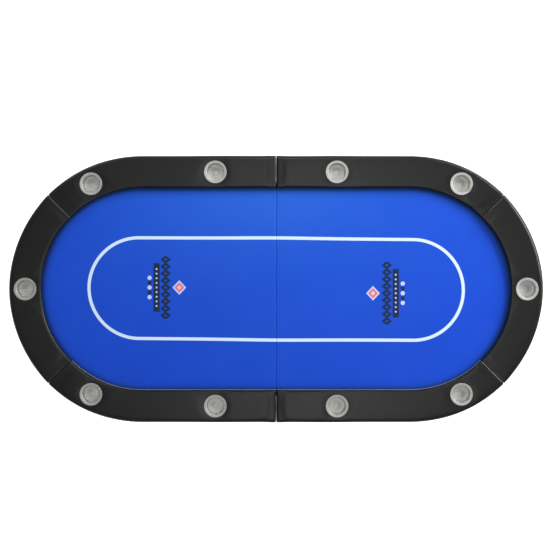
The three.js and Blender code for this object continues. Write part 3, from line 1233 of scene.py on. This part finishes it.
def makeScatterTree():
    # one fastener at each point, each turned by its own chance angle
    tree = bpy.data.node_groups.new("placeFasteners", "GeometryNodeTree")
    face = tree.interface
    face.new_socket("Geometry", in_out="INPUT", socket_type="NodeSocketGeometry")
    face.new_socket("Fastener", in_out="INPUT", socket_type="NodeSocketObject")
    face.new_socket("Metal", in_out="INPUT", socket_type="NodeSocketMaterial")
    face.new_socket("Size", in_out="INPUT", socket_type="NodeSocketFloat").default_value = 1.0
    face.new_socket("Turn", in_out="INPUT", socket_type="NodeSocketFloat").default_value = math.pi
    face.new_socket("Seed", in_out="INPUT", socket_type="NodeSocketInt").default_value = 1
    face.new_socket("Geometry", in_out="OUTPUT", socket_type="NodeSocketGeometry")
    given = tree.nodes.new("NodeGroupInput").outputs
    out = tree.nodes.new("NodeGroupOutput").inputs
    info = tree.nodes.new("GeometryNodeObjectInfo")
    toPoints = tree.nodes.new("GeometryNodeMeshToPoints")
    place = tree.nodes.new("GeometryNodeInstanceOnPoints")
    chance = tree.nodes.new("FunctionNodeRandomValue")
    chance.data_type = "FLOAT"
    angle = tree.nodes.new("ShaderNodeCombineXYZ")
    real = tree.nodes.new("GeometryNodeRealizeInstances")
    paint = tree.nodes.new("GeometryNodeSetMaterial")
    links = tree.links
    links.new(given["Geometry"], toPoints.inputs["Mesh"])
    links.new(toPoints.outputs["Points"], place.inputs["Points"])
    links.new(given["Fastener"], info.inputs["Object"])
    links.new(info.outputs["Geometry"], place.inputs["Instance"])
    links.new(given["Size"], place.inputs["Scale"])
    minimum = next(i for i in chance.inputs if i.name == "Min" and i.enabled)
    maximum = next(i for i in chance.inputs if i.name == "Max" and i.enabled)
    minimum.default_value = 0.0
    links.new(given["Turn"], maximum)
    links.new(given["Seed"], chance.inputs["Seed"])
    value = next(o for o in chance.outputs if o.enabled)
    links.new(value, angle.inputs["Z"])
    links.new(angle.outputs["Vector"], place.inputs["Rotation"])
    links.new(place.outputs["Instances"], real.inputs["Geometry"])
    links.new(real.outputs["Geometry"], paint.inputs["Geometry"])
    links.new(given["Metal"], paint.inputs["Material"])
    links.new(paint.outputs["Geometry"], out["Geometry"])
    return tree


scatterTree = makeScatterTree()


def scatter(name, points, template, metal, size, turn, body):
    mesh = bpy.data.meshes.new(name)
    mesh.from_pydata(points, [], [])
    made = bpy.data.objects.new(name, mesh)
    scene.collection.objects.link(made)
    modifier = made.modifiers.new("place", "NODES")
    modifier.node_group = scatterTree
    wanted = {"Fastener": template, "Metal": metal, "Size": size, "Turn": turn, "Seed": fastenings["seed"]}
    for item in scatterTree.interface.items_tree:
        if item.in_out == "INPUT" and item.name in wanted:
            modifier[item.identifier] = wanted[item.name]
    applyModifiers(made)
    for face in made.data.polygons:
        face.use_smooth = True
    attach(made, body)
    return made


def hingeScrewPoints(side):
    points = []
    for row in ("back", "middle", "front"):
        low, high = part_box(f"{row}_hinge_{side}_leaf")
        outer = low.x if side == "left" else high.x
        inward = 1 if side == "left" else -1
        plateZ = high.z - 0.0015
        middle = (low.y + high.y) / 2
        reach = (high.y - low.y) / 2
        points += [(outer + inward * 0.008, middle - reach * 0.72, plateZ),
                   (outer + inward * 0.008, middle + reach * 0.72, plateZ),
                   (outer + inward * 0.018, middle, plateZ)]
    return points


def railBoltPoints(half):
    sx = -1 if half == "left" else 1
    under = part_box(f"{half}_board")[0].z
    line = endRadius - 0.052
    points = []
    for sy in (1, -1):
        for along in (0.075, 0.40, arcCentreX + endRadius * 0.16, arcCentreX + endRadius * 0.68,
                      arcCentreX + endRadius * 0.90, arcCentreX + endRadius * 1.28):
            origin, out = station(along, (sx, sy))
            spot = origin + out * line
            points.append((spot.x, spot.y, under))
    return points


def staplePoints(half):
    sx = -1 if half == "left" else 1
    s = clothShape
    hinges = [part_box(f"{row}_hinge_pin") for row in ("back", "middle", "front")]
    points = []
    for y in stepsBetween(-s["radius"] + 0.015, s["radius"] - 0.015, fastenings["stapleSpacing"]):
        if all(not (low.y - 0.012 < y < high.y + 0.012) for low, high in hinges):
            points.append((sx * (s["return"] - 0.007), y, s["bottom"]))
    return points


def makeFastenings():
    f = fastenings
    screw = fastenerMesh("screwTemplate", f["screwHead"], f["screwDome"], None, 0.0, hingeSteel)
    bolt = fastenerMesh("boltTemplate", f["boltHead"], f["boltDome"], f["washer"], f["washerThick"], hingeSteel)
    staple = stapleMesh("stapleTemplate", f["stapleWide"], f["stapleWire"], hingeSteel)
    for half in ("left", "right"):
        body = f"{half}_half"
        scatter(f"{half}_hinge_screws", hingeScrewPoints(half), screw, hingeSteel, 1.0, math.pi, body)
        scatter(f"{half}_rail_bolts", railBoltPoints(half), bolt, hingeSteel, 1.0, math.pi, body)
        feet = []
        for i in range(1, 5):
            low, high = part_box(f"{half}_foot_{i}")
            feet.append(((low.x + high.x) / 2, (low.y + high.y) / 2, 0.0034))
        scatter(f"{half}_foot_screws", feet, screw, hingeSteel, 1.15, math.pi, body)
        scatter(f"{half}_cloth_staples", staplePoints(half), staple, hingeSteel, 1.0, 0.9, body)
    for template in (screw, bolt, staple):
        bpy.data.objects.remove(template)


makeFastenings()
print("fastenings ready")


# ---------- CAD pieces that stay: hinges and underlay

def dressFrame():
    for name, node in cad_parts.items():
        material = None
        if "_hinge_" in name:
            material = hingeSteel
        elif name.endswith("_underlay"):
            material = foam
        if material is not None:
            node.data.materials.clear()
            node.data.materials.append(material)


dressFrame()
